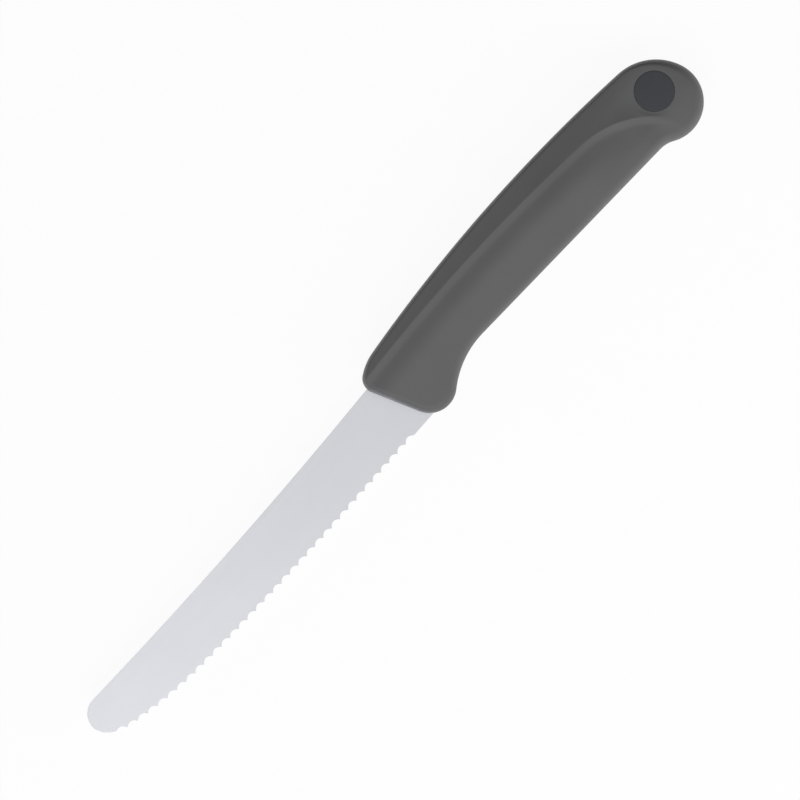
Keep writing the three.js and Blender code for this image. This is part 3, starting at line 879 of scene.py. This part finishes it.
bladeSteel = {
    "colour": (0.615, 0.624, 0.655),
    "colourDrift": 0.015,
    "roughness": 0.34,
    "roughnessDrift": 0.04,
    "lines": (60.0, 9000.0, 2000.0),  # drawn out along the blade
    "lineDetail": 4.0,
    "lineRoughness": 0.6,
    "lineStrength": 0.12,
    "lineDepth": 0.000004,
    "cloud": (40.0, 60.0, 60.0),
    "cloudDetail": 2.0,
}


def makeBladeSteel():
    steel = bladeSteel
    finish = Finish("satinSteel", Metallic=1.0)
    lines = finish.noise(steel["lines"], steel["lineDetail"], steel["lineRoughness"])
    cloud = finish.noise(steel["cloud"], steel["cloudDetail"])
    finish.tint(cloud, steel["colour"], steel["colourDrift"])
    finish.roughen(lines, steel["roughness"], steel["roughnessDrift"])
    finish.bump(lines, steel["lineStrength"], steel["lineDepth"])
    return finish.material


def dress(piece, material, node):
    piece.data.materials.clear()
    piece.data.materials.append(material)
    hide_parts(node)
    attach(piece, "root")


dress(makeBlade(), makeBladeSteel(), "blade")
dress(makeGrip(), makeGrainedPlastic("greyMoulding", gripPlastic), "handle_grip")
dress(makeInlay(), makeGrainedPlastic("slateInlay", inlayPlastic), "end_disc")
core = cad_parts["handle_core"]
core.data.materials.clear()
core.data.materials.append(makeCorePlastic())
print("pieces dressed")

# Floor, light and camera
studio = {
    "floorSize": 6.0,
    "floorGrey": 0.4,  # for the light that it throws back
    "floorSeen": 0.95,
    "shadowShare": 0.06,  # how much of the floor's real shading is seen
    "fill": 0.08,
    "lights": [
        # name, direction from the knife, distance, size, watts, seen mirrored in the steel
        ("keySoftbox", (-0.43, -0.38, 0.82), 1.0, 0.6, 4.8, True),
        ("rightSoftbox", (0.41, -0.82, 0.41), 0.7, 0.4, 3.1, False),
        ("leftSoftbox", (-0.80, 0.53, 0.28), 1.0, 0.6, 4.0, False),
    ],
}


# 1 for the rays that show the background: straight to the camera, mirrored or through glass
def seenRays(nodes, links):
    path = nodes.new("ShaderNodeLightPath")
    seen = path.outputs["Is Camera Ray"]
    for kind in ("Is Glossy Ray", "Is Transmission Ray"):
        either = nodes.new("ShaderNodeMath")
        either.operation = "MAXIMUM"
        links.new(seen, either.inputs[0])
        links.new(path.outputs[kind], either.inputs[1])
        seen = either.outputs[0]
    return seen


# white where it is seen, with some of its real shading so that it keeps the knife's shadow
def makeFloor():
    half = studio["floorSize"] / 2
    corners = [(-half, -half, 0), (half, -half, 0), (half, half, 0), (-half, half, 0)]
    floor = makeObject("studioFloor", corners, [(0, 1, 2, 3)], False)
    material = bpy.data.materials.new("paleFloor")
    material.use_nodes = True
    nodes, links = material.node_tree.nodes, material.node_tree.links
    nodes.clear()
    output = nodes.new("ShaderNodeOutputMaterial")
    diffuse = nodes.new("ShaderNodeBsdfDiffuse")
    white = nodes.new("ShaderNodeEmission")
    blend = nodes.new("ShaderNodeMixShader")
    seen = seenRays(nodes, links)
    ranges = [
        (diffuse.inputs["Color"], studio["floorGrey"], studio["floorSeen"]),
        (blend.inputs["Fac"], 0, 1 - studio["shadowShare"]),
    ]
    for socket, otherwise, whenSeen in ranges:
        choose = nodes.new("ShaderNodeMapRange")
        choose.inputs["To Min"].default_value = otherwise
        choose.inputs["To Max"].default_value = whenSeen
        links.new(seen, choose.inputs["Value"])
        links.new(choose.outputs["Result"], socket)
    links.new(diffuse.outputs[0], blend.inputs[1])
    links.new(white.outputs[0], blend.inputs[2])
    links.new(blend.outputs[0], output.inputs["Surface"])
    floor.data.materials.append(material)


# white where it is seen, and a weak fill light
def makeWorld():
    world = bpy.data.worlds.new("studioWorld")
    bpy.context.scene.world = world
    world.use_nodes = True
    nodes, links = world.node_tree.nodes, world.node_tree.links
    nodes.clear()
    output = nodes.new("ShaderNodeOutputWorld")
    background = nodes.new("ShaderNodeBackground")
    strength = nodes.new("ShaderNodeMapRange")
    strength.inputs["To Min"].default_value = studio["fill"]
    links.new(seenRays(nodes, links), strength.inputs["Value"])
    links.new(strength.outputs["Result"], background.inputs["Strength"])
    links.new(background.outputs[0], output.inputs["Surface"])


def makeLights():
    for name, direction, distance, size, watts, mirrored in studio["lights"]:
        data = bpy.data.lights.new(name, "AREA")
        data.size = size
        data.energy = watts
        light = linked(name, data)
        way = Vector(direction).normalized()
        light.location = way * distance
        light.rotation_euler = (-way).to_track_quat("-Z", "Y").to_euler()
        light.visible_camera = False
        light.visible_glossy = mirrored


photoView = {
    "aim": (0.762, 0.354),  # mm on the drawing, the picture's middle
    "turn": -48.6,  # degrees
    "field": 198.54,  # mm across the picture, in the blade's middle plane
    "lens": 500.0,
    "sensor": 36.0,
}


def makeCamera():
    view = photoView
    data = bpy.data.cameras.new("photoCamera")
    data.lens, data.sensor_width = view["lens"], view["sensor"]
    camera = linked("photoCamera", data)
    aimX, aimY = view["aim"]
    distance = view["field"] * view["lens"] / view["sensor"]
    camera.location = drawingOrigin + Vector((aimX, aimY, distance)) * mm
    camera.rotation_euler = (0, 0, math.radians(view["turn"]))
    bpy.context.scene.camera = camera


makeFloor()
makeWorld()
makeLights()
makeCamera()
bpy.context.scene.view_settings.view_transform = "Standard"
print("studio ready")
